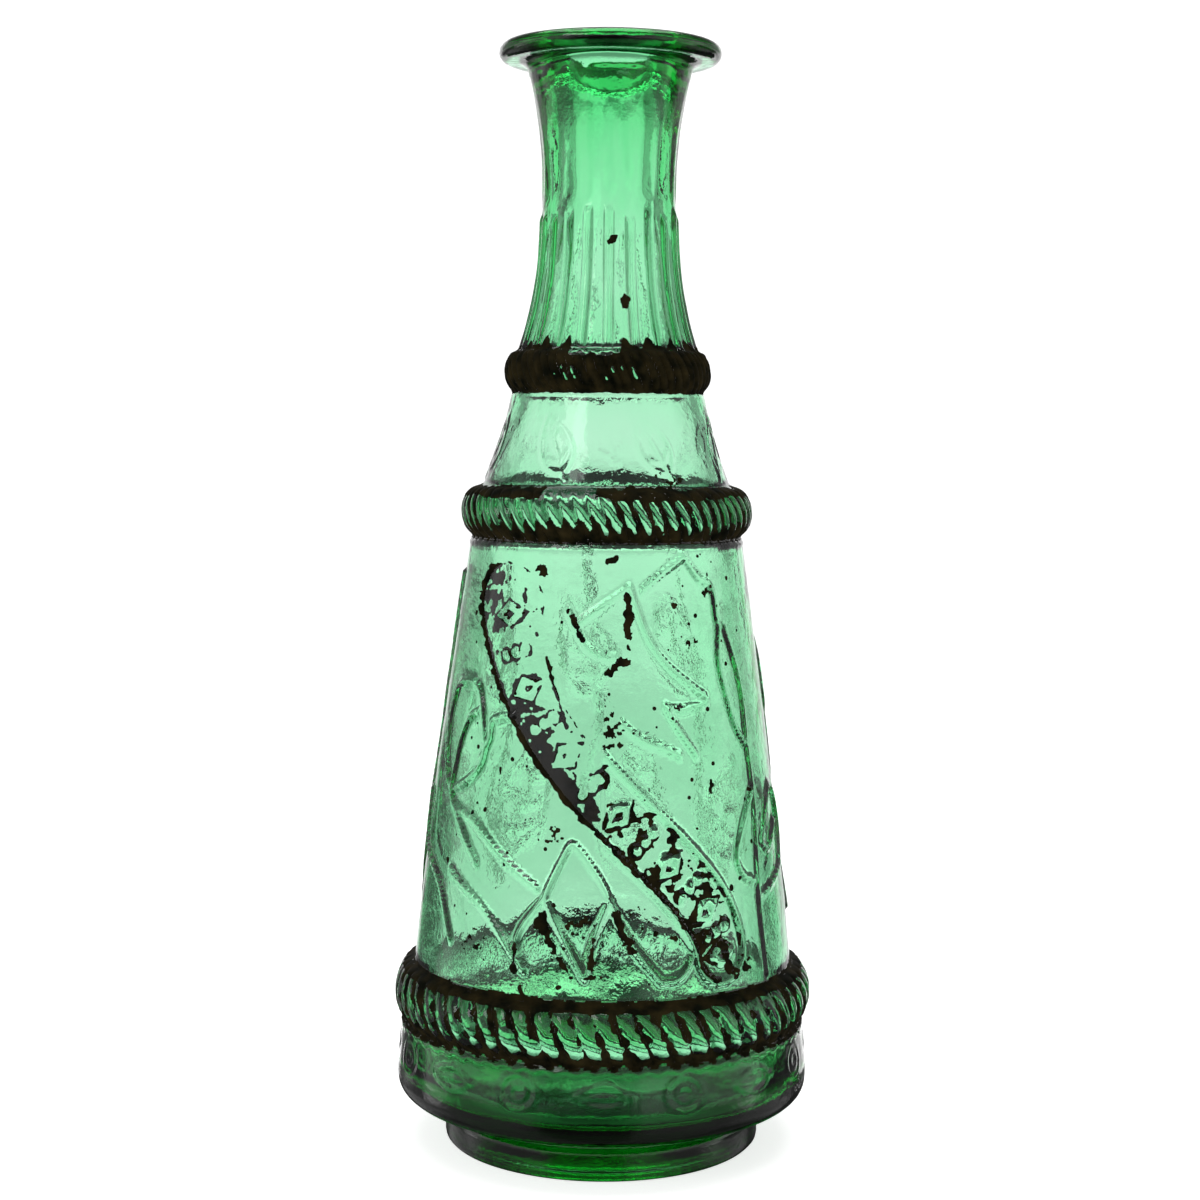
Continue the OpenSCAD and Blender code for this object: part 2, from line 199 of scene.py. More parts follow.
def strand_side(az, z, rope):
    """Place across a strand, from -1 in one groove through 0 on the crest to 1 in the next."""
    low, high, crest_r = rope
    pitch = 2 * math.pi * crest_r / STRANDS
    turns = az * STRANDS / (2 * np.pi) + (z - (low + high) / 2) * math.tan(ROPE_SLANT) / pitch
    turns = turns + 0.10 * ripple(az, z, 9, 71)
    return 2 * (turns - np.floor(turns)) - 1


def strands(az, z):
    """Half-round strands, highest mid-band and fading towards the band's two edges."""
    total = np.zeros_like(z)
    for rope in ROPES:
        low, high, _ = rope
        across = np.clip(2 * (z - low) / (high - low) - 1, -1, 1)
        round_top = 1 - np.abs(strand_side(az, z, rope)) ** 2.2
        uneven = 1 + 0.16 * ripple(az, z, 7, 72)
        total += STRAND_H * round_top * uneven * np.sqrt(1 - across**4) * ((z > low) & (z < high))
    return total


def hems(az, z):
    """Thin wavy ridges just below two bands, one wave to a strand, where the glass crept out."""
    wave = 0.4 * np.sin(STRANDS * az + 0.8 * ripple(az, z, 12, 73))
    low = np.exp(-(((z - BASE_ROPE_Z + 1.1 - wave) / 0.55) ** 2))
    high = np.exp(-(((z - SHOULDER_ROPE_Z + 1.0 - wave) / 0.5) ** 2))
    return 0.34 * low + 0.26 * high


def reed_side(az):
    """Distance round the neck from the nearest reed's middle line, as a share of the reed pitch."""
    turns = az * REEDS / (2 * np.pi)
    return np.abs(turns - np.round(turns))


def reeds(az, z):
    """Half-round reeds with blunt rounded tops, each a little longer or shorter than the next."""
    pitch = 2 * math.pi * outside(z) / REEDS
    off = reed_side(az) * pitch / (REED_W / 2)
    top = REED_TOP + 1.8 * ripple(az, np.full_like(z, 30.0), 6, 31, 18)
    ends = ease(REEDS_Z - 2, REEDS_Z + 1, z) * ease(0, 2.6, top - z)
    uneven = 0.85 + 0.25 * ripple(az, np.full_like(z, 60.0), 8, 32, 18)
    return uneven * np.sqrt(np.clip(1 - off**2, 0, 1)) * ends


# %% [markdown]
# ## The banner
#
# The banner is a ribbon along one curve with four handles. Every place near it is given by how
# far along the curve it lies and how far to the side, so its raised edge, its ground and the
# hollow lozenges and rows of beads that fill it all come from those two numbers.


# %% Banner coordinates
BANNER = np.array([[-25.0, 154.0], [-34.0, 103.0], [39.0, 77.0], [31.0, 51.0]])
BANNER_W, BANNER_FLARE, BANNER_END = 16.5, 8.5, 0.085
MOTIFS, MOTIF_W, BEAD_R = 13, 8.0, 1.25


def bezier(handles, t):
    """Cubic curve: the four handles weighted by powers of t and of 1 minus t."""
    w = np.stack([(1 - t) ** 3, 3 * (1 - t) ** 2 * t, 3 * (1 - t) * t**2, t**3], axis=-1)
    return w @ handles


BANNER_T = np.linspace(BANNER_END, 1 - BANNER_END, 160)
BANNER_LINE = bezier(BANNER, BANNER_T)


def banner_place(arc, z):
    """Depth inside the banner's outline, and distance to the upper right of its middle line."""
    depth, side = np.full(arc.shape, -50.0), np.zeros(arc.shape)
    near = (np.abs(arc) < 60) & (z > BODY_Z - 4) & (z < SHOULDER_ROPE_Z + 4)
    away_u, away_v = arc[near][:, None] - BANNER_LINE[:, 0], z[near][:, None] - BANNER_LINE[:, 1]
    gap = away_u**2 + away_v**2
    nearest = gap.argmin(axis=1)
    pick = (np.arange(len(nearest)), nearest)
    half = BANNER_W / 2 + BANNER_FLARE * np.clip(1 - 2 * BANNER_T[nearest], 0, 1) ** 4
    depth[near] = half - np.sqrt(gap[pick])
    way = np.gradient(BANNER_LINE, axis=0)[nearest]
    side[near] = (away_v[pick] * way[:, 0] - away_u[pick] * way[:, 1]) / np.hypot(*way.T)
    return depth, side


def motif_edge(arc, z):
    """Distance to the nearest motif, a hollow lozenge or three beads in turn; negative inside it."""
    best = np.full(arc.shape, 50.0)
    for i in range(MOTIFS):
        t = blend(0.1, 0.92, i / (MOTIFS - 1))
        mid = bezier(BANNER, np.array(t))
        way = bezier(BANNER, np.array(t + 0.01)) - mid
        way = way / np.hypot(*way)
        u = (arc - mid[0]) * way[0] + (z - mid[1]) * way[1]
        v = (z - mid[1]) * way[0] - (arc - mid[0]) * way[1]
        reach = 1.45 * np.abs(u) + np.abs(v)
        lozenge = np.maximum(reach - 0.55 * MOTIF_W, 0.2 * MOTIF_W - reach) * 0.6
        beads = np.hypot(u, v - 0.37 * MOTIF_W * np.clip(np.round(v / (0.37 * MOTIF_W)), -1, 1)) - BEAD_R
        best = np.minimum(best, (lozenge, beads)[i % 2])
    return best


def banner(az, z):
    """Raised edge line, slightly sunk ground and rounded motifs."""
    arc = az * outside(z)
    depth, _ = banner_place(arc, z)
    edge = np.clip(1 - ((depth - 0.9) / 1.0) ** 2, 0, 1)
    motif = ease(0.45, -0.45, motif_edge(arc, z)) * (depth > 1)
    ground = -0.25 * ease(1.2, 2.6, depth)
    return 0.85 * edge + 1.0 * motif + ground


# %% [markdown]
# ## Leaves
#
# The leaves are drawn as raised lines. Each line is a few points, as azimuth in degrees and
# height, rounded into a smooth path; a place on the glass rises by how near it is to the path.


# %% Line work
def smooth_path(points, per=6):
    """Catmull-Rom curve through the points: each stretch is a cubic set by its neighbours."""
    p = np.vstack([2 * points[0] - points[1], points, 2 * points[-1] - points[-2]])
    t = np.linspace(0, 1, per, endpoint=False)[:, None]
    a, b, c, d = p[:-3], p[1:-2], p[2:-1], p[3:]
    runs = [0.5 * (2 * b[i] + (c[i] - a[i]) * t + (2 * a[i] - 5 * b[i] + 4 * c[i] - d[i]) * t**2
                   + (3 * b[i] - a[i] - 3 * c[i] + d[i]) * t**3) for i in range(len(a))]
    return np.vstack([*runs, points[-1:]])


def path_gap(az, z, path):
    """Shortest distance in mm to a path given as azimuth in degrees and height."""
    radius = outside(z)
    best = np.full(z.shape, 99.0)
    rad = np.radians(path[:, 0])
    for (a0, a1), (z0, z1) in zip(zip(rad[:-1], rad[1:]), zip(path[:-1, 1], path[1:, 1])):
        du, dv = (a1 - a0) * radius, z1 - z0
        turn = (az - a0 + np.pi) % (2 * np.pi) - np.pi
        u, v = turn * radius, z - z0
        t = np.clip((u * du + v * dv) / (du**2 + dv**2 + 1e-9), 0, 1)
        best = np.minimum(best, np.hypot(u - t * du, v - t * dv))
    return best


def lines_relief(az, z, paths, height, half_width):
    """Rounded ridges along all the paths; only places close to a path are worked out."""
    rise = np.zeros(z.shape)
    for path in paths:
        margin = math.degrees(3 / outside(path[:, 1].mean()))
        turn = (np.degrees(az) - path[:, 0].mean() + 180) % 360 - 180
        reach = np.abs(path[:, 0] - path[:, 0].mean()).max() + margin
        near = (np.abs(turn) < reach) & (z > path[:, 1].min() - 3) & (z < path[:, 1].max() + 3)
        gap = path_gap(az[near], z[near], path) / half_width
        rise[near] = np.maximum(rise[near], height * np.clip(1 - gap**2, 0, 1) ** 1.5)
    return rise


def leaf(azimuth, height, length, width, lean, veins=3):
    """Pointed leaf: two bowed edges, a midrib and paired side veins, leant over by lean degrees."""
    s = np.linspace(-1, 1, 15)
    side = width / 2 * (1 - s**2) ** 0.8 * (1 - 0.25 * s)
    drawn = [np.stack([side, s * length / 2], 1), np.stack([-side, s * length / 2], 1)]
    drawn.append(np.array([[0, -length * 0.62], [0, length * 0.36]]))
    for k in range(veins):
        foot = blend(-0.32, 0.16, k / max(veins - 1, 1)) * length
        for hand in (-1, 1):
            drawn.append(np.array([[0, foot], [hand * width * 0.33, foot + length * 0.13]]))
    c, n = math.cos(math.radians(lean)), math.sin(math.radians(lean))
    turned = [line @ np.array([[c, n], [-n, c]]) for line in drawn]
    radius = float(outside(height))
    return [np.stack([azimuth + np.degrees(t[:, 0] / radius), height + t[:, 1]], 1) for t in turned]


# %% [markdown]
# ## Where the lines run
#
# The front's leaves are large and cut across each other, so their lines are set out one by one.
# The back, the shoulder and the base band repeat a plain leaf or a ring by a loop.

# %% The leaves and rings, front, back, shoulder and base
FRONT_LINES = [
    [(-10, 138), (-2, 142), (5, 145), (9, 147)],
    [(9, 147), (13, 139), (17, 133), (24, 127), (33, 122)],
    [(33, 122), (38, 119), (28, 117), (21, 118)],
    [(21, 118), (26, 112), (32, 106)],
    [(6, 114), (13, 110), (20, 108), (26, 106)],
    [(14, 146), (22, 150), (32, 154)],
    [(32, 154), (38, 149), (45, 146), (46, 138)],
    [(-14, 141), (-10, 136), (-6, 132), (0, 130), (4, 130)],
    [(47, 137), (45, 128), (48, 118), (51, 112), (56, 107)],
    [(50, 136), (55, 126), (57, 117), (57, 107)],
    [(-69, 112), (-65, 120), (-57, 122), (-50, 120), (-46, 112), (-44, 104), (-51, 98), (-61, 95),
     (-67, 101), (-69, 112)],
    [(-61, 95), (-58, 107), (-54, 113), (-49, 115)],
    [(-33, 115), (-42, 113), (-42, 109), (-46, 103)],
    [(-61, 95), (-58, 91), (-46, 88), (-30, 79), (-20, 74)],
    [(-58, 91), (-50, 84), (-43, 78)],
    [(-56, 75), (-38, 67), (-23, 54)],
    [(-86, 92), (-80, 79), (-62, 71), (-52, 58)],
    [(-23, 54), (-26, 62), (-18, 72)],
    [(-18, 72), (-11, 62), (-5, 53)],
    [(-5, 53), (-3, 62), (2, 72)],
    [(2, 72), (8, 62), (17, 52)],
    [(17, 52), (23, 53), (28, 59), (30, 64)],
    [(-18, 72), (-13, 81), (-9, 85), (-1, 77), (2, 72)],
    [(57, 95), (50, 87), (46, 80), (49, 75), (54, 73)],
    [(57, 107), (58, 94), (57, 83), (56, 70), (57, 49)],
    [(57, 69), (63, 70), (76, 75), (80, 86), (72, 95), (60, 82)],
    [(60, 82), (66, 80), (74, 86)],
]
BODY_LINES = [smooth_path(np.array(line, dtype=float)) for line in FRONT_LINES]
for k in range(8):
    low_row = k % 2 == 1
    BODY_LINES += leaf(blend(104, 256, k / 7), 82 if low_row else 124, 32 if low_row else 30,
                       17 if low_row else 15, 18 if low_row else -18)
BODY_LINES += [smooth_path(np.array([(az, 60), (az + 9, 84), (az + 4, 104), (az + 11, 148)], float))
               for az in (92, 134, 178, 222, 262)]
SHOULDER_LINES = []
for k in range(7):
    SHOULDER_LINES += leaf(24 + k * 360 / 7, 181, 15, 8, 25 * (-1) ** k, veins=2)
BASE_LINES = []
for k in range(8):
    turn = np.linspace(0, 2 * np.pi, 19)
    mid = 22.5 + 45 * k
    for share in (1.0, 0.45):
        BASE_LINES.append(np.stack([mid + 5.2 * share * np.cos(turn), 25.3 + 4.2 * share * np.sin(turn)], 1))
    BASE_LINES += leaf(mid + 22.5, 25.3, 12, 5, 90, veins=0)
print("raised lines:", len(BODY_LINES), "body,", len(SHOULDER_LINES), "shoulder,", len(BASE_LINES), "base")

# %% [markdown]
# ## The skin of the bottle
#
# Everything outside between the base band and the lip is now one function: the turned radius,
# plus strands, reeds, banner and leaves, plus the ripples of the hand-worked glass.


# %% Outside radius with all its relief
def skin(az, z):
    """Outside radius in mm at azimuth az in radians and height z in mm."""
    az, z = np.broadcast_arrays(np.asarray(az, float), np.asarray(z, float))
    rise = strands(az, z) + reeds(az, z) + hems(az, z)
    body = (z > BODY_Z) & (z < SHOULDER_ROPE_Z)
    rise[body] += banner(az[body], z[body])
    lines = lines_relief(az[body], z[body], BODY_LINES, 0.9, 1.05)
    under_banner = ease(0.6, -0.8, banner_place(az[body] * outside(z[body]), z[body])[0])
    rise[body] += lines * under_banner
    shoulder = (z > SHOULDER_Z) & (z < NECK_ROPE_Z)
    rise[shoulder] += lines_relief(az[shoulder], z[shoulder], SHOULDER_LINES, 0.28, 1.0)
    low = z < BASE_ROPE_Z
    rise[low] += lines_relief(az[low], z[low], BASE_LINES, 0.22, 1.2)
    waves = 0.13 * ripple(az, z, 16, 11) + 0.08 * ripple(az, z, 7, 12) + 0.035 * ripple(az, z, 3, 13)
    fluting = 0.14 * np.cos(REEDS * az) * ease(REED_TOP, REED_TOP + 6, z) * ease(272, 250, z)
    return outside(z) + rise + waves * ease(12, 20, z) + fluting


def inner_skin(az, z):
    """Inside radius: the blown wall with long, lazy waves."""
    waves = 0.28 * ripple(az, z, 26, 21) + 0.12 * ripple(az, z, 9, 22)
    return inside(z) + waves * ease(BAND_Z, 30, z) * ease(280, 262, z)


# %% [markdown]
# ## Laying the skin on grids
#
# Glass shows every join, so each stretch is one closed mesh: up the outside, over a face and down
# the inside. The bottle is made as four stretches, because one mesh fine enough for the strands
# would be too heavy. They meet just inside the lower edges of the rope bands, under the darkest
# paint, since such a face shows through clear glass.


# %% Mesh helpers
def all_round(count):
    """Azimuths round the whole bottle, evenly spaced."""
    return np.linspace(0, 2 * np.pi, count, endpoint=False)


def place(az, radius, z):
    """Azimuth, radius and height in mm to x, y, z in metres, with the front towards -Y."""
    return np.stack([radius * np.sin(az), -radius * np.cos(az), z + 0 * az], axis=-1) * MM


def new_mesh(name, points, quads, triangles=()):
    """A mesh object at the origin, from numpy points and faces, shaded smooth."""
    mesh = bpy.data.meshes.new(name)
    quads, triangles = np.asarray(quads, int).reshape(-1, 4), np.asarray(triangles, int).reshape(-1, 3)
    sizes = np.concatenate([np.full(len(quads), 4), np.full(len(triangles), 3)])
    corners = np.concatenate([quads.ravel(), triangles.ravel()])
    mesh.vertices.add(len(points))
    mesh.vertices.foreach_set("co", np.asarray(points, np.float32).ravel())
    mesh.loops.add(len(corners))
    mesh.loops.foreach_set("vertex_index", corners.astype(np.int32))
    mesh.polygons.add(len(sizes))
    mesh.polygons.foreach_set("loop_start", (np.cumsum(sizes) - sizes).astype(np.int32))
    mesh.polygons.foreach_set("loop_total", sizes.astype(np.int32))
    mesh.update(calc_edges=True)
    mesh.validate()
    mesh.shade_smooth()
    piece = bpy.data.objects.new(name, mesh)
    bpy.context.scene.collection.objects.link(piece)
    print(name, "has", int((sizes - 2).sum()), "triangles")
    return piece


def turned_grid(name, rows, pole_start=None, pole_end=None):
    """Closes a grid of rings into a solid: a point at each end, or the last ring back to the first."""
    count, around, _ = rows.shape
    index = np.arange(count * around).reshape(count, around)
    if pole_start is None:
        index = np.vstack([index, index[:1]])
    low, high = index[:-1], index[1:]
    quads = np.stack([low, np.roll(low, -1, 1), np.roll(high, -1, 1), high], -1).reshape(-1, 4)
    points = rows.reshape(-1, 3)
    if pole_start is None:
        return new_mesh(name, points, quads)
    first, last = len(points), len(points) + 1
    points = np.vstack([points, [pole_start], [pole_end]])
    ring, end = index[0], index[-1]
    fan = [np.stack([np.full(around, first), np.roll(ring, -1), ring], -1),
           np.stack([end, np.roll(end, -1), np.full(around, last)], -1)]
    return new_mesh(name, points, quads, np.vstack(fan))


def even_heights(low, high, step):
    """Heights whose steps along the softened profile are about equal, so steep parts get more."""
    z = np.linspace(low, high, 4000)
    length = np.concatenate([[0], np.cumsum(np.hypot(np.diff(z), np.diff(outside(z))))])
    return np.interp(np.linspace(0, length[-1], max(3, round(length[-1] / step) + 1)), length, z)


def rounded_outline(corners, step):
    """Path through [radius, height, rounding] corners, each corner replaced by a tangent arc."""
    corners = np.asarray(corners, float)
    path = [corners[0, :2]]
    for before, here, after in zip(corners[:-2], corners[1:-1], corners[2:]):
        a, b = before[:2] - here[:2], after[:2] - here[:2]
        a, b = a / np.hypot(*a), b / np.hypot(*b)
        half = math.acos(np.clip(a @ b, -1, 1)) / 2
        if here[2] == 0 or half > 1.55:
            path.append(here[:2])
            continue
        cut = here[2] / math.tan(half)
        centre = here[:2] + (a + b) / np.hypot(*(a + b)) * here[2] / math.sin(half)
        start, stop = here[:2] + a * cut - centre, here[:2] + b * cut - centre
        sweep = np.linspace(0, 1, 9)[:, None]
        spoke = start * (1 - sweep) + stop * sweep
        path += list(centre + spoke / np.hypot(*spoke.T)[:, None] * here[2])
    path = np.vstack([*path, corners[-1, :2]])
    length = np.concatenate([[0], np.cumsum(np.hypot(*np.diff(path, axis=0).T))])
    even = np.linspace(0, length[-1], max(3, round(length[-1] / step) + 1))
    return np.stack([np.interp(even, length, path[:, k]) for k in (0, 1)], 1)


def rings(az, path, wave=0.1, seed=41):
    """Rings of a plain turned path, with light ripples across it."""
    radius, z = path[:, :1], path[:, 1:]
    ripples = wave * ripple(az[None, :] + 0 * z, z + radius, 11, seed)
    return place(az[None, :] + 0 * z, radius + ripples * np.clip(radius / 8, 0, 1), z)


def skin_rings(az, heights, radius_at):
    """Rings whose radius at each azimuth and height comes from a skin function."""
    flat_az = np.broadcast_to(az, (len(heights), len(az)))
    z = np.broadcast_to(heights[:, None], flat_az.shape)
    return place(flat_az, radius_at(flat_az, z), z)


# %% [markdown]
# ## Foot and base
#
# Under the bottle is a shallow dome and a ring that it stands on. The thick floor above it and
# the base's darker glass, whose extra dark is painted shade, make the base look so deep a green.

# %% Base stretch
BASE_CUT, SHOULDER_CUT, NECK_CUT = BASE_ROPE_Z + 1.2, SHOULDER_ROPE_Z + 1.3, NECK_ROPE_Z + 1.1
az_base = all_round(640)
dome_r = (FOOT_INNER_R**2 + DOME_H**2) / (2 * DOME_H)
dome = np.array([[r, DOME_H + 1 - dome_r + math.sqrt(dome_r**2 - r**2)] for r in range(3, 32, 3)])
foot = rounded_outline([[FOOT_INNER_R - 1, 1.4, 0], [FOOT_INNER_R, 0, 1.2], [FOOT_R, 0, 1.3],
                        [FOOT_R, 7.4, 0.9], [GROOVE_R, 8.2, 0.6], [GROOVE_R, BAND_Z, 0.5],
                        [BAND_R, BAND_Z, HEEL_R], [BAND_R, BAND_Z + 8, 0]], 0.75)
foot = foot[foot[:, 1] < BAND_Z + HEEL_R]
base_out = even_heights(BAND_Z + HEEL_R + 0.4, BASE_CUT, 0.6)
floor_in = rounded_outline([[inside(24), 26, 0], [inside(22), FLOOR_Z, 7.5], [1.5, FLOOR_Z - 1.2, 0]], 2.2)
base_in = np.linspace(BASE_CUT, 27, 5)
base_glass = turned_grid(
    "base_glass",
    np.vstack([rings(az_base, dome), rings(az_base, foot, 0.06),
               skin_rings(az_base, base_out, skin), skin_rings(az_base, base_in, inner_skin),
               rings(az_base, floor_in, 0.3, 43)]),
    pole_start=(0, 0, (DOME_H + 1) * MM), pole_end=(0, 0, (FLOOR_Z - 1.2) * MM))

# %% [markdown]
# ## Body
#
# The long cone carries the banner and the leaves. Its strands need rings closer together than
# the plain wall above them, so its heights come in two runs.

# %% Body stretch
az_body = all_round(576)
body_out = np.concatenate([even_heights(BASE_CUT, BODY_Z, 0.65)[:-1],
                           even_heights(BODY_Z, SHOULDER_CUT, 1.0)])
body_in = np.linspace(SHOULDER_CUT, BASE_CUT, 26)
body_rings = np.vstack([skin_rings(az_body, body_out, skin), skin_rings(az_body, body_in, inner_skin)])
body_glass = turned_grid("body_glass", body_rings)

# %% [markdown]
# ## Shoulder
#
# A second, slightly hollow cone above the middle rope band, with one row of small leaves.

# %% Shoulder stretch
az_shoulder = all_round(512)
shoulder_out = np.concatenate([even_heights(SHOULDER_CUT, SHOULDER_Z, 0.5)[:-1],
                               even_heights(SHOULDER_Z, NECK_CUT, 0.7)])
shoulder_in = np.linspace(NECK_CUT, SHOULDER_CUT, 14)
shoulder_rings = np.vstack([skin_rings(az_shoulder, shoulder_out, skin),
                            skin_rings(az_shoulder, shoulder_in, inner_skin)])
shoulder_glass = turned_grid("shoulder_glass", shoulder_rings)

# %% [markdown]
# ## Neck and lip
#
# The lip was laid on as a thick ring of hot glass and pressed flat, so it's rounder and less even
# than the moulded parts. Its rim is a half circle, and a small cove joins it to the throat.

# %% Neck stretch
az_neck = all_round(512)
neck_out = even_heights(NECK_CUT, LIP_Z - 1.5, 0.74)
lip = rounded_outline([[THROAT_TOP_R - 0.4, LIP_Z - 1.2, 0], [THROAT_TOP_R + 0.4, LIP_Z + 2.4, 2.6],
                       [LIP_R, LIP_Z + 2.4, 2.2], [LIP_R, TOP_Z, 2.25], [MOUTH_R, TOP_Z, 1.6],
                       [MOUTH_R, LIP_Z - 4, 0]], 1.0)
neck_in = np.concatenate([np.linspace(LIP_Z - 6, REEDS_Z, 24), np.linspace(REEDS_Z, NECK_CUT, 5)[1:]])
neck_rings = np.vstack([skin_rings(az_neck, neck_out, skin), rings(az_neck, lip, 0.12, 45),
                        skin_rings(az_neck, neck_in, inner_skin)])
neck_glass = turned_grid("neck_glass", neck_rings)

# %% [markdown]
# ## Old paint
#
# The rope bands and the banner were once painted dark, and what is left sits in the grooves and
# corners. A film of paint is a real thin solid here: a fine grid on the glass, kept where the
# paint's own function is above zero, with its border pulled onto the exact zero line.


# %% Paint film helper
FILM_EDGE, FILM_ROOT, MOST_PULL = 0.03, 0.07, 0.45


def film(name, az_range, z_range, cell, amount, thick=0.12):
    """Closed thin shell over the skin wherever amount(az, z) is above zero; cell is in mm."""
    mid_r = float(outside(sum(z_range) / 2))
    full = az_range[1] - az_range[0] >= 360
    across = round(math.radians(az_range[1] - az_range[0]) * mid_r / cell)
    az = np.radians(np.linspace(*az_range, across, endpoint=not full))
    z = np.arange(z_range[0], z_range[1], cell)
    az, z = np.meshgrid(az, z)
    m = amount(az, z)
    step_az = (az[0, 1] - az[0, 0]) * outside(z)
    wrap = np.hstack([m[:, -1:], m, m[:, :1]]) if full else np.pad(m, ((0, 0), (1, 1)), mode="edge")
    slope_u = (wrap[:, 2:] - wrap[:, :-2]) / (2 * step_az)
    slope_v = np.gradient(m, cell, axis=0)
    right = np.roll(m, -1, 1)
    keep = (m + right)[:-1] + (m + right)[1:] > 0
    if not full:
        keep[:, -1] = False
    index = np.arange(m.size).reshape(m.shape)
    nxt = np.roll(index, -1, 1)
    quads = np.stack([index[:-1], nxt[:-1], nxt[1:], index[1:]], -1)[keep]
    edges = np.stack([quads, np.roll(quads, -1, 1)], -1).reshape(-1, 2)
    key = np.minimum(*edges.T).astype(np.int64) * m.size + np.maximum(*edges.T)
    _, where, counts = np.unique(key, return_inverse=True, return_counts=True)
    border = edges[counts[where] == 1]
    on_border = np.zeros(m.size, bool)
    on_border[border.ravel()] = True
    on_border = on_border.reshape(m.shape)
    pull = -m / (slope_u**2 + slope_v**2 + 1e-6)
    move_u = np.where(on_border, np.clip(pull * slope_u, -MOST_PULL * cell, MOST_PULL * cell), 0)
    move_v = np.where(on_border, np.clip(pull * slope_v, -MOST_PULL * cell, MOST_PULL * cell), 0)
    az, z = az + move_u / outside(z), z + move_v
    base = skin(az, z)
    lift = np.where(on_border, FILM_EDGE, thick * (1 + 0.5 * ripple(az, z, 1.6, 61)))
    used, flat = np.unique(quads, return_inverse=True)
    top = place(az, base + lift, z).reshape(-1, 3)[used]
    under = place(az, base - FILM_ROOT, z).reshape(-1, 3)[used]
    faces = flat.reshape(-1, 4)
    rim = np.searchsorted(used, border)
    sides = np.stack([rim[:, 1], rim[:, 0], rim[:, 0] + len(used), rim[:, 1] + len(used)], -1)
    return new_mesh(name, np.vstack([top, under]), np.vstack([faces, faces[:, ::-1] + len(used), sides]))


def window(az, low, high, soft=4.0):
    """1 between two azimuths in degrees, easing to 0 over soft degrees outside them."""
    turn = (np.degrees(az) - (low + high) / 2 + 180) % 360 - 180
    return ease((high - low) / 2 + soft, (high - low) / 2, np.abs(turn))


# %% [markdown]
# ## Paint on the neck band
#
# This band is the best kept: nearly all of it is dark, with paint run up between the reeds.


# %% Neck band film
SLANTED_DROP, TALL_DROP = (0.055, 231.9), (0.22, 216.6)


def neck_amount(az, z):
    """Nearly all of the band, climbing between the reeds, with worn slits and two drops above."""
    climb = 1.9 * ease(0.2, 0.5, reed_side(az)) * (1 - window(az, -20, 6))
    top = REEDS_Z + 0.9 + climb + 1.5 * ragged(az, z, 3, 81) - 1.9 * window(az, -22, 7)
    bottom = NECK_ROPE_Z - 0.2 + 0.4 * ragged(az, z, 3, 84)
    crest = 1 - np.abs(strand_side(az, z, ROPES[2]))
    in_front = np.maximum(window(az, -34, -12), window(az, 0, 18))
    off_az, off_z = az - SLANTED_DROP[0], z - SLANTED_DROP[1]
    slanted = 1.0 - np.hypot(off_az * 18 / 1.5, off_z - off_az * 9)
    tall = 1.0 - np.hypot((az - TALL_DROP[0]) * 18.5, (z - TALL_DROP[1]) / 1.9)
    drops = np.maximum(slanted, tall) + 0.5 * ragged(az, z, 1.2, 89)
    worn = in_front * ease(195.8, 197.4, z) * ease(202.2, 200.4, z) * (crest + 0.7 * ragged(az, z, 2.2, 87))
    return np.maximum(drops, np.minimum(np.minimum(z - bottom, top - z), 0.82 - worn))


neck_paint = film("neck_band_paint", (-180, 180), (190.5, 235), 0.3, neck_amount)

# %% [markdown]
# ## Paint on the shoulder band
#
# In front, hands have rubbed the upper left of this band bare, and the rest keeps its grooves.


# %% Shoulder band film
STAIN_AZ, STAIN_Z, STAIN_W, STAIN_H = 0.5, 173, 11, 2.8


def shoulder_amount(az, z):
    """A zigzag along the lower edge, and grooves and an upper line except where it wore off in front."""
    groove = np.abs(strand_side(az, z, ROPES[1]))
    up = (z - SHOULDER_ROPE_Z) / (SHOULDER_Z - SHOULDER_ROPE_Z)
    noise, patchy = ragged(az, z, 2.0, 91), ragged(az, z, 9, 94)
    zigzag = 0.34 - up + 0.34 * (groove - 0.5) + 0.2 * noise
    kept = 1 - window(az, -60, -2)
    inner = ease(0.02, 0.1, up) * ease(0.98, 0.9, up)
    grooves = kept * (groove - 0.60 + 0.12 * (up - 0.5) + 0.34 * noise + 0.2 * patchy) * inner
    line = (1 - window(az, -27, -4)) * (0.10 - np.abs(up - 0.93) + 0.06 * noise + 0.05 * patchy)
    from_stain = np.hypot((az - STAIN_AZ) * 32 / STAIN_W, (z - STAIN_Z) / STAIN_H)
    stain = ragged(az, z, 0.9, 97) - 0.22 - 0.8 * ease(0.3, 1.2, from_stain)
    band = np.maximum(np.maximum(zigzag * ease(-0.02, 0.05, up) * 1.2, grooves - 0.02), line * 2.5)
    return np.where(z > SHOULDER_Z + 1.2, stain, np.maximum(band, stain))


shoulder_paint = film("shoulder_band_paint", (-180, 180), (156.6, 178), 0.32, shoulder_amount)
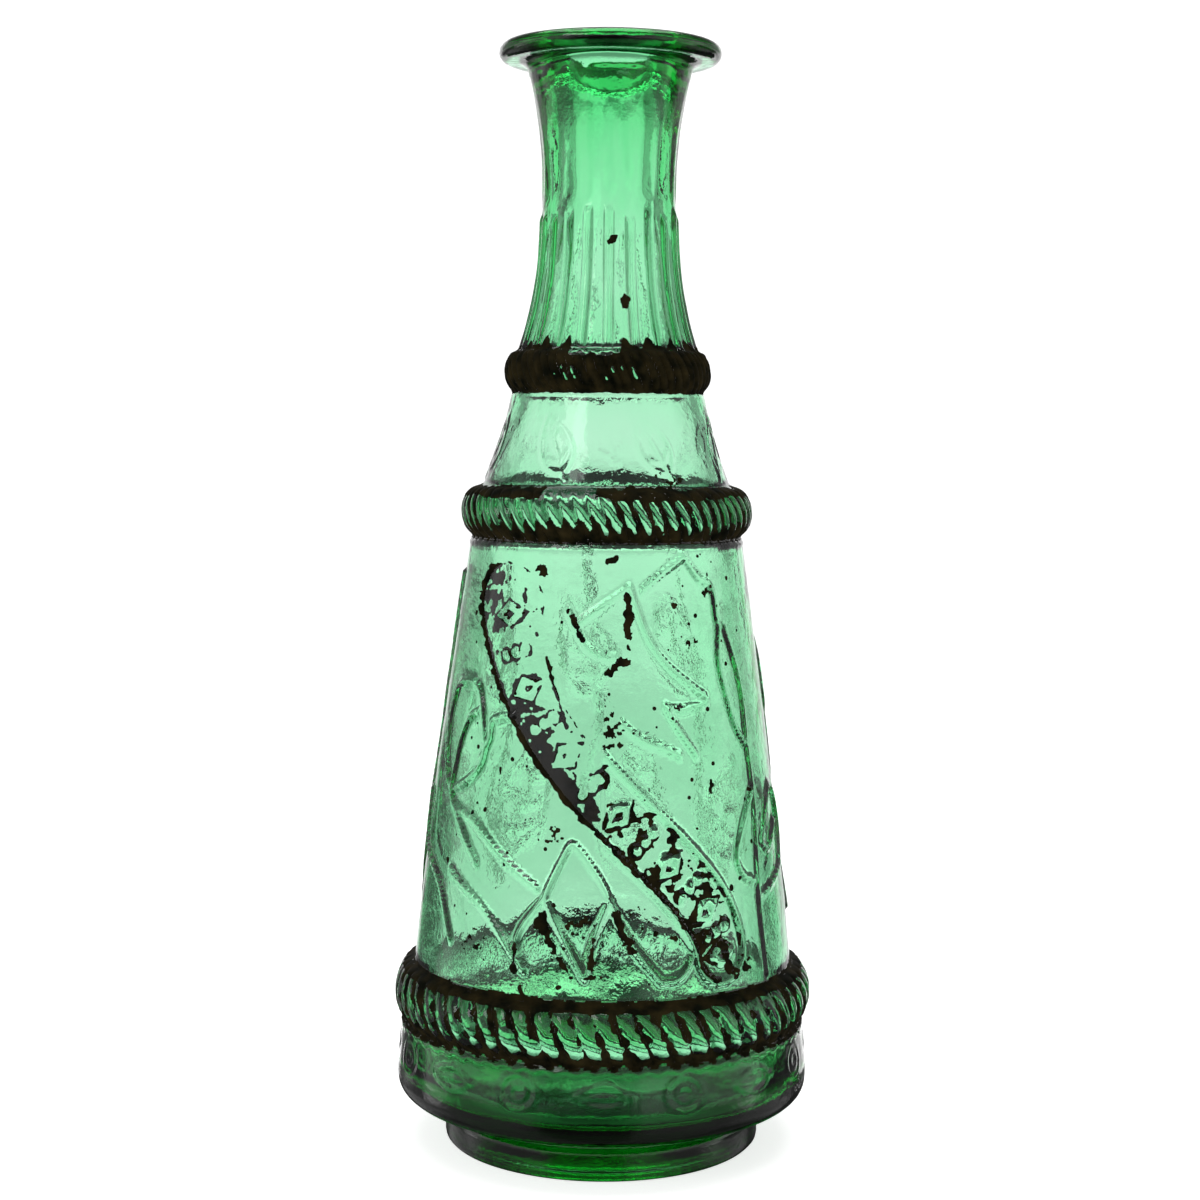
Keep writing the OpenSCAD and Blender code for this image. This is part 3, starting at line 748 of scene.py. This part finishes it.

# %% [markdown]
# ## Paint on the base rope band
#
# The widest band is the most handled, so its crests are bare and only the grooves, the corner
# above and the edge below are dark. More of it is laid on the sides than on the front, and least on the
# back.


# %% Base band film
def base_amount(az, z):
    """A line in the upper corner, a ragged lower edge, and wedges in the grooves, widest below."""
    groove = np.abs(strand_side(az, z, ROPES[0]))
    up = (z - BASE_ROPE_Z) / (BODY_Z - BASE_ROPE_Z)
    noise, patchy = ragged(az, z, 2.2, 101), ragged(az, z, 11, 104)
    side = (1 - window(az, -46, 46, 22)) * (1 - 1.6 * window(az, 125, 235, 22))
    upper = 0.08 - np.abs(up - 0.995) + 0.035 * noise + 0.02 * patchy
    lower = 0.10 - np.abs(up - 0.09) + 0.07 * noise + 0.09 * (groove - 0.5) + 0.05 * side
    wedge = groove - 0.60 - 0.16 * up + 0.66 * noise + 0.22 * patchy + 0.16 * side
    grooves = wedge * ease(0.02, 0.12, up) * ease(1, 0.95, up)
    return np.maximum(np.maximum(upper, lower) * 3, grooves)


base_paint = film("base_band_paint", (-180, 180), (31.4, 49.4), 0.36, base_amount)

# %% [markdown]
# ## Paint on the body
#
# On the body the paint is left between the banner's motifs, along parts of its edge, in a few
# strokes where the leaves meet, as stray specks and as speckled stains where it wore to dust.
# A stroke is its points, as azimuth and height, and its half width; a stain is an azimuth, a
# height, a half width and a half height.


# %% Banner and leaf film
STREAKS = [([(-14, 141), (-11, 138), (-8, 134.5)], 0.7), ([(8, 145), (8.6, 139), (8, 132)], 0.8),
           ([(1.3, 126), (5, 128.4), (7.5, 129)], 1.2), ([(-18.5, 66.5), (-18, 64)], 1.7),
           ([(-16.6, 62.5), (-13, 58), (-9, 53.4)], 0.95), ([(-2.6, 64.5), (-3, 59), (-3.2, 54)], 0.45),
           ([(-3, 56), (-3.2, 54)], 1.0), ([(3.8, 69), (6, 64), (8.5, 60)], 1.0),
           ([(-26.5, 62), (-26, 58), (-26.8, 54)], 0.7), ([(30, 61.6), (31, 58.5)], 1.0),
           ([(37, 60), (39, 55), (43, 52), (48, 52.6)], 1.4), ([(2, 153), (4, 153.8)], 0.6),
           ([(26.6, 142), (26.7, 142.3)], 0.55), ([(-36.5, 102), (-36.6, 99)], 0.3),
           ([(-26.5, 151), (-25, 150)], 0.9), ([(-33, 146), (-32, 140)], 0.5),
           ([(-24, 50), (-22.6, 47.6)], 0.6), ([(-12.5, 51), (-12, 51)], 0.6),
           ([(-22, 131), (-17, 121), (-13, 113)], 0.45)]
STAINS = [(-6, 65, 7, 4), (11.4, 67.5, 4, 4), (22.5, 61.6, 4.5, 2.6), (42, 147, 3, 6), (-42, 59.6, 6, 5.5),
          (37.4, 97.5, 1.4, 4), (-17.4, 87, 7, 3), (3, 112, 6, 9), (25, 116, 4, 7), (34, 133, 3, 3)]
SPECKS = 220


def body_amount(az, z):
    """Blobs in the banner's ground, its edge, strokes, stains and specks, whichever is more."""
    arc = az * outside(z)
    noise, fine, patchy = ragged(az, z, 2.6, 111), ragged(az, z, 1.3, 117), ragged(az, z, 9, 114)
    dust = ragged(az, z, 0.9, 119)
    depth, side = banner_place(arc, z)
    # More paint is laid on the banner's lower side, the side in shadow: part of it is paint left there, part
    # is painted shade.
    shaded_low_side = ease(1.5, -5.5, side)
    clear = np.minimum(motif_edge(arc, z) - 0.3, depth - 1.6)
    middle = ease(121, 112, z) * ease(88, 97, z)
    lower = ease(98, 90, z) * ease(66, 76, z)
    top_end = ease(132, 140, z) * ease(1, -5, side)
    full = middle * (0.2 + 0.8 * shaded_low_side) + 0.5 * lower + 0.6 * top_end + 0.4 * shaded_low_side * (z > 100)
    ground = np.minimum(clear, 1.3 * noise + 0.7 * fine + 0.5 * patchy - 0.72 + full)
    # Paint lodged round the motifs, heavier on the lower side; that extra on the lower side is painted
    # shade.
    corners = 0.26 - np.abs(motif_edge(arc, z) - 0.5) + 0.8 * noise + 0.5 * fine + 0.3 * shaded_low_side
    ground = np.maximum(ground, np.minimum(corners, depth - 1.2))
    edge = 0.42 - np.abs(depth - 1.9) + 0.6 * noise + 0.6 * fine + 0.5 * patchy - 0.5 + 0.9 * shaded_low_side
    best = np.maximum(ground, edge)
    for points, half in STREAKS:
        gap = path_gap(az, z, smooth_path(np.array(points, float)))
        best = np.maximum(best, half * (0.85 + 1.2 * noise + 1.3 * fine) - gap)
    for at, height, wide, tall in STAINS:
        reach = np.hypot((az - math.radians(at)) * outside(z) / wide, (z - height) / tall)
        best = np.maximum(best, dust - 0.24 - 0.8 * ease(0.4, 1.2, reach) + 0.35 * noise)
    draw = np.random.default_rng(121)
    for _ in range(SPECKS):
        at, height, size = draw.uniform(-1.05, 1.05), draw.uniform(49, 155), 0.14 + 0.5 * draw.uniform() ** 3
        best = np.maximum(best, size * (1 + noise) - np.hypot((az - at) * outside(z), z - height))
    return best


body_paint = film("banner_paint", (-62, 62), (47.6, 156.2), 0.3, body_amount, 0.09)

# %% [markdown]
# ## Materials
#
# Colours are given as sRGB hex, as a paint maker's card would, and one function makes them
# linear. One small function adds a node, sets it and links it.


# %% Colour and node helpers
def colour(hex_code):
    """sRGB hex to linear red, green, blue and alpha by the standard curve."""
    parts = [int(hex_code[k : k + 2], 16) / 255 for k in (1, 3, 5)]
    return tuple(c / 12.92 if c <= 0.04045 else ((c + 0.055) / 1.055) ** 2.4 for c in parts) + (1.0,)


def feed(tree, socket, value):
    """Links an input to another node's socket, or sets it to a plain value."""
    if isinstance(value, bpy.types.NodeSocket):
        tree.links.new(value, socket)
    else:
        socket.default_value = value


def add_node(tree, kind, settings=None, **inputs):
    """Adds a node; settings are its own, inputs are socket values or the sockets to link from."""
    node = tree.nodes.new(kind)
    for key, value in (settings or {}).items():
        setattr(node, key, value)
    for key, value in inputs.items():
        feed(tree, node.inputs[key.replace("_", " ")], value)
    return node


def per_mm(size):
    """Noise scale for a grain of that size in mm, on Object coordinates in metres."""
    return 1 / (size * MM)


# %% [markdown]
# ## Green bottle glass
#
# Soda-lime glass coloured with copper and iron, moulded and fire-polished. It lets green through
# and soaks up red most, blue less, so thin walls look mint and thick ones deep green. That is an
# absorption in the volume, not a tint on the surface. The skin is orange-peeled by the iron. The
# base gets a deeper tint and a denser absorption than the rest: that extra dark is painted shade
# for the dark that falls under the foot.


# %% Glass
def bottle_glass(name, tint, density):
    """Clear polished glass whose volume soaks up density times (1 minus tint) of light per metre."""
    material = bpy.data.materials.new(name)
    material.use_nodes = True
    tree = material.node_tree
    tree.nodes.clear()
    where = add_node(tree, "ShaderNodeTexCoord").outputs["Object"]
    peel = add_node(tree, "ShaderNodeTexNoise", Vector=where, Scale=per_mm(2.6), Detail=3.0, Roughness=0.55)
    pits = add_node(tree, "ShaderNodeTexVoronoi", Vector=where, Scale=per_mm(3.4))
    pit = add_node(tree, "ShaderNodeMapRange", Value=pits.outputs["Distance"],
                   **{"From_Min": 0.04, "From_Max": 0.2})
    dent = add_node(tree, "ShaderNodeBump", Strength=0.25, Distance=0.05 * MM, Height=pit.outputs["Result"])
    skin_bump = add_node(tree, "ShaderNodeBump", Strength=0.55, Distance=0.15 * MM,
                         Height=peel.outputs["Fac"], Normal=dent.outputs["Normal"])
    glass = add_node(tree, "ShaderNodeBsdfPrincipled", Base_Color=(1, 1, 1, 1), Roughness=0.02, IOR=1.52,
                     Transmission_Weight=1.0, Normal=skin_bump.outputs["Normal"])
    soak = add_node(tree, "ShaderNodeVolumeAbsorption", Color=(*tint, 1), Density=density)
    out = add_node(tree, "ShaderNodeOutputMaterial", Surface=glass.outputs["BSDF"],
                   Volume=soak.outputs["Volume"])
    out.target = "ALL"
    return material


# The base's deeper tint and its density of 260, against the body's 110, are painted shade for the dark under
# the foot.
CLEAR_TINT, SHADED_BASE_TINT = (0.04, 0.84, 0.38), (0.02, 0.77, 0.28)
for piece, tint, density in ((base_glass, SHADED_BASE_TINT, 260.0), (body_glass, CLEAR_TINT, 110.0),
                             (shoulder_glass, CLEAR_TINT, 110.0), (neck_glass, CLEAR_TINT, 140.0)):
    piece.data.materials.append(bottle_glass("moulded_green_glass_" + piece.name, tint, density))
    passed = [round(math.exp(-density * (1 - channel) * WALL * MM), 2) for channel in tint]
    print(piece.name, "passes, through one wall:", passed)

# %% [markdown]
# ## Dark old paint
#
# Oil paint brushed on long ago: a dark umber that has dried matt and cracked. Where it's thick
# it is nearly black, and where it's thin it is browner, so its colour wanders between the two.


# %% Paint
PAINT_COLOURS = ((0.35, "#080a03"), (0.75, "#2b2410"))


def old_paint():
    """Matt, finely cracked paint whose colour wanders between near black and brown."""
    material = bpy.data.materials.new("aged_umber_oil_paint")
    material.use_nodes = True
    tree = material.node_tree
    shader = tree.nodes["Principled BSDF"]
    where = add_node(tree, "ShaderNodeTexCoord").outputs["Object"]
    patches = add_node(tree, "ShaderNodeTexNoise", Vector=where, Scale=per_mm(4.0), Detail=4.0)
    ramp = add_node(tree, "ShaderNodeValToRGB", Fac=patches.outputs["Fac"])
    for element, (share, hex_code) in zip(ramp.color_ramp.elements, PAINT_COLOURS):
        element.position = share
        element.color = colour(hex_code)
    grain = add_node(tree, "ShaderNodeTexNoise", Vector=where, Scale=per_mm(0.7), Detail=5.0)
    bump = add_node(tree, "ShaderNodeBump", Strength=0.6, Distance=0.08 * MM, Height=grain.outputs["Fac"])
    tree.links.new(ramp.outputs["Color"], shader.inputs["Base Color"])
    tree.links.new(bump.outputs["Normal"], shader.inputs["Normal"])
    shader.inputs["Roughness"].default_value = 0.7
    shader.inputs["Specular IOR Level"].default_value = 0.04
    return material


paint = old_paint()
for piece in (neck_paint, shoulder_paint, base_paint, body_paint):
    piece.data.materials.append(paint)
print(paint.name, "on four films")

# %% [markdown]
# ## What stands for what
#
# The bottle has one body, root. Each glass stretch stands for the CAD nodes in it, and each film
# for its own CAD film, so the plain solids are hidden but stay in the physics model.

# %% Bodies, replaced nodes and slots
STANDS_FOR = [
    (base_glass, "green_glass", ["foot_ring", "base_plate", "base_band", "base_medallions"]),
    (body_glass, "green_glass", ["base_rope_band", "body_cone", "banner_frame", "banner_ornament",
                                 "front_leaves", "back_leaves"]),
    (shoulder_glass, "green_glass", ["shoulder_rope_band", "shoulder_cone", "shoulder_leaves"]),
    (neck_glass, "green_glass", ["neck_rope_band", "reeded_neck", "throat", "lip"]),
    (neck_paint, "dark_paint", ["neck_band_paint"]),
    (shoulder_paint, "dark_paint", ["shoulder_band_paint"]),
    (base_paint, "dark_paint", ["base_band_paint"]),
    (body_paint, "dark_paint", ["banner_paint"]),
]
for piece, slot, nodes in STANDS_FOR:
    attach(piece, "root")
    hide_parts(*nodes)
print("replaced nodes:", sorted({n for _, _, nodes in STANDS_FOR for n in nodes}))

# %% [markdown]
# ## Floor
#
# A plain white card. It glows a little, so that it stays as white as the walls behind it, and the
# glass isn't shown it: through the glass the darker cloth that the next cell lays there is seen.

# %% Floor
FLOOR_R, FLOOR_GLOW = 4.0, 0.72
ring = all_round(96)
floor_points = np.stack([FLOOR_R * np.sin(ring), FLOOR_R * np.cos(ring), 0 * ring], 1)
floor_mesh = bpy.data.meshes.new("floor")
floor_mesh.from_pydata(floor_points.tolist(), [], [list(range(len(ring)))[::-1]])
floor = bpy.data.objects.new("floor", floor_mesh)
bpy.context.scene.collection.objects.link(floor)
floor.visible_transmission = False
floor.visible_glossy = False
card = bpy.data.materials.new("matt_white_card")
card.use_nodes = True
card_shader = card.node_tree.nodes["Principled BSDF"]
card_shader.inputs["Base Color"].default_value = colour("#f4f4f4")
card_shader.inputs["Roughness"].default_value = 0.9
card_shader.inputs["Emission Color"].default_value = (1, 1, 1, 1)
card_shader.inputs["Emission Strength"].default_value = FLOOR_GLOW
floor_mesh.materials.append(card)
print("floor radius", FLOOR_R, "m")

# %% [markdown]
# ## A room worked out from direction
#
# Glass is drawn by what stands round it, so it needs a room. The room is worked out from the
# direction alone: how far it is above the horizon, and how far round from the wall behind the
# bottle.

# %% Room helpers
world = bpy.data.worlds.new("white_room")
bpy.context.scene.world = world
world.use_nodes = True
room = world.node_tree
room.nodes.clear()
way = add_node(room, "ShaderNodeTexCoord").outputs["Generated"]
axes = add_node(room, "ShaderNodeSeparateXYZ", Vector=way)


def maths(operation, first, second=0.0):
    """One maths node of the room; each input is a number or a socket."""
    node = add_node(room, "ShaderNodeMath", {"operation": operation})
    for socket, value in zip(node.inputs, (first, second)):
        feed(room, socket, value)
    return node.outputs[0]


def step_up(value, low, high):
    """0 below low degrees and 1 above high degrees, eased between."""
    return add_node(room, "ShaderNodeMapRange", {"interpolation_type": "SMOOTHSTEP"}, Value=value,
                    From_Min=math.radians(low), From_Max=math.radians(high)).outputs["Result"]


def without(value):
    """1 minus the value."""
    return maths("SUBTRACT", 1.0, value)


def brightness(points):
    """Grey ramp over the height above the horizon, from (degrees, brightness) pairs."""
    ramp = add_node(room, "ShaderNodeValToRGB", Fac=height_share)
    for _ in points[2:]:
        ramp.color_ramp.elements.new(0.5)
    for element, (degrees, grey) in zip(ramp.color_ramp.elements, points):
        element.position = degrees / 180 + 0.5
        element.color = (grey, grey, grey, 1)
    return ramp.outputs["Color"]


def mixed(share, first, second):
    """Mix of two colours by a share."""
    node = add_node(room, "ShaderNodeMix", {"data_type": "RGBA"})
    for index, value in ((0, share), (6, first), (7, second)):
        feed(room, node.inputs[index], value)
    return node.outputs[2]


height = maths("ARCSINE", axes.outputs["Z"])
height_share = maths("ADD", maths("DIVIDE", height, math.pi), 0.5)
print("room helpers ready, with", len(room.nodes), "nodes")

# %% [markdown]
# ## Walls of light
#
# White walls give the clear green, and dark corners behind the bottle give the stripes at its
# edges. A dimmer ceiling and floor cloth shade the lip and the foot, a pale strip just above the
# cloth lights the lower body, and a dark patch low behind makes the thick base deep. The wall in
# front is darkest where it would veil the base. The room is turned a little, so that the left
# edges are darker than the right, and less so at the height of the neck. Seen straight, not
# through the glass, the walls are plain white.

# %% Walls of light
BEHIND = [(-90, 0.08), (-42, 0.1), (-30, 0.4), (-21, 0.36), (-17.5, 0.8), (-15.5, 1.8), (-13, 1.0),
          (-9, 0.9), (-5, 1.14), (19, 1.14), (24, 0.42), (90, 0.3)]
AROUND = [(-90, 0.1), (-45, 0.2), (-32, 0.25), (-15, 0.3), (-5, 0.75), (20, 0.7), (30, 0.4),
          (90, 0.35)]
IN_FRONT = [(-90, 0.1), (-30, 0.08), (-12, 0.05), (-3, 0.12), (3, 0.4), (12, 0.6), (30, 0.4),
            (90, 0.35)]
ROOM_TURN, NECK_TURN = 9, 11
CORNER_DARK, CORNER_LIFT, NECK_SHARE, PATCH_DARK, WALL_WHITE = 0.88, 0.45, 0.45, 0.9, 1.2
neck_turn = maths("MULTIPLY", step_up(height, 0, 2), math.radians(NECK_TURN))
turn_here = maths("SUBTRACT", math.radians(ROOM_TURN), neck_turn)
azimuth = maths("ARCTAN2", axes.outputs["X"], axes.outputs["Y"])
round_way = maths("ABSOLUTE", maths("SUBTRACT", azimuth, turn_here))
walls = mixed(step_up(round_way, 78, 100), brightness(BEHIND), brightness(AROUND))
walls = mixed(step_up(round_way, 142, 160), walls, brightness(IN_FRONT))
corner = maths("MULTIPLY", step_up(round_way, 24, 36), without(step_up(round_way, 68, 80)))
corner = maths("MULTIPLY", corner, step_up(height, -21, -16))
neck_high = maths("MULTIPLY", step_up(height, 0.5, 3), NECK_SHARE)
lifted = maths("SUBTRACT", step_up(height, -8, 0), neck_high)
depth_of_corner = maths("SUBTRACT", CORNER_DARK, maths("MULTIPLY", lifted, CORNER_LIFT))
lit = without(maths("MULTIPLY", corner, depth_of_corner))
patch = maths("MULTIPLY", without(step_up(round_way, 28, 46)), without(step_up(height, -17.5, -16.3)))
lit = maths("MULTIPLY", lit, without(maths("MULTIPLY", patch, PATCH_DARK)))
seen_direct = add_node(room, "ShaderNodeLightPath").outputs["Is Camera Ray"]
glow = add_node(room, "ShaderNodeBackground", Color=walls, Strength=lit)
plain = add_node(room, "ShaderNodeBackground", Color=(1, 1, 1, 1), Strength=WALL_WHITE)
both = add_node(room, "ShaderNodeMixShader", Fac=seen_direct)
room.links.new(glow.outputs["Background"], both.inputs[1])
room.links.new(plain.outputs["Background"], both.inputs[2])
add_node(room, "ShaderNodeOutputWorld", Surface=both.outputs["Shader"])
print("room:", len(room.nodes), "nodes")

# %% [markdown]
# ## Soft boxes
#
# Two large soft lamps: one overhead that gives the soft shadow at the foot, and a weak one at the
# front left for the sheen on the bands.


# %% Soft boxes
def soft_box(name, at, target, size, power):
    """A square area light at a place, turned to face the target."""
    light = bpy.data.lights.new(name, "AREA")
    light.size, light.energy = size, power
    thing = bpy.data.objects.new(name, light)
    thing.location = at
    aim = np.array(target) - np.array(at)
    thing.rotation_euler = (math.acos(-aim[2] / np.linalg.norm(aim)), 0, math.atan2(-aim[0], aim[1]))
    bpy.context.scene.collection.objects.link(thing)
    print(name, power, "W")
    return thing


soft_box("top_soft_box", (0.0, 0.1, 1.3), (0, 0, 0.1), 1.2, 9)
soft_box("front_soft_box", (-0.8, -1.0, 0.9), (0, 0, 0.15), 0.5, 2)

# %% [markdown]
# ## Camera
#
# A short telephoto lens at the height of the shoulder, looking slightly down.

# %% Camera
camera_data = bpy.data.cameras.new("camera")
camera_data.lens, camera_data.sensor_width = 65.0, 36.0
camera = bpy.data.objects.new("camera", camera_data)
camera.location = (0.0, -0.560, 0.1885)
pitch, yaw, roll = math.radians(90 - 4.89), math.radians(0.15), math.radians(0.5)
camera.rotation_mode = "QUATERNION"
camera.rotation_quaternion = (Matrix.Rotation(yaw, 3, "Z") @ Matrix.Rotation(pitch, 3, "X")
                              @ Matrix.Rotation(roll, 3, "Z")).to_quaternion()
bpy.context.scene.collection.objects.link(camera)
bpy.context.scene.camera = camera
bpy.context.scene.view_settings.view_transform = "Standard"
print("camera", camera_data.lens, "mm at", [round(v, 3) for v in camera.location])

bpy.context.view_layer.update()
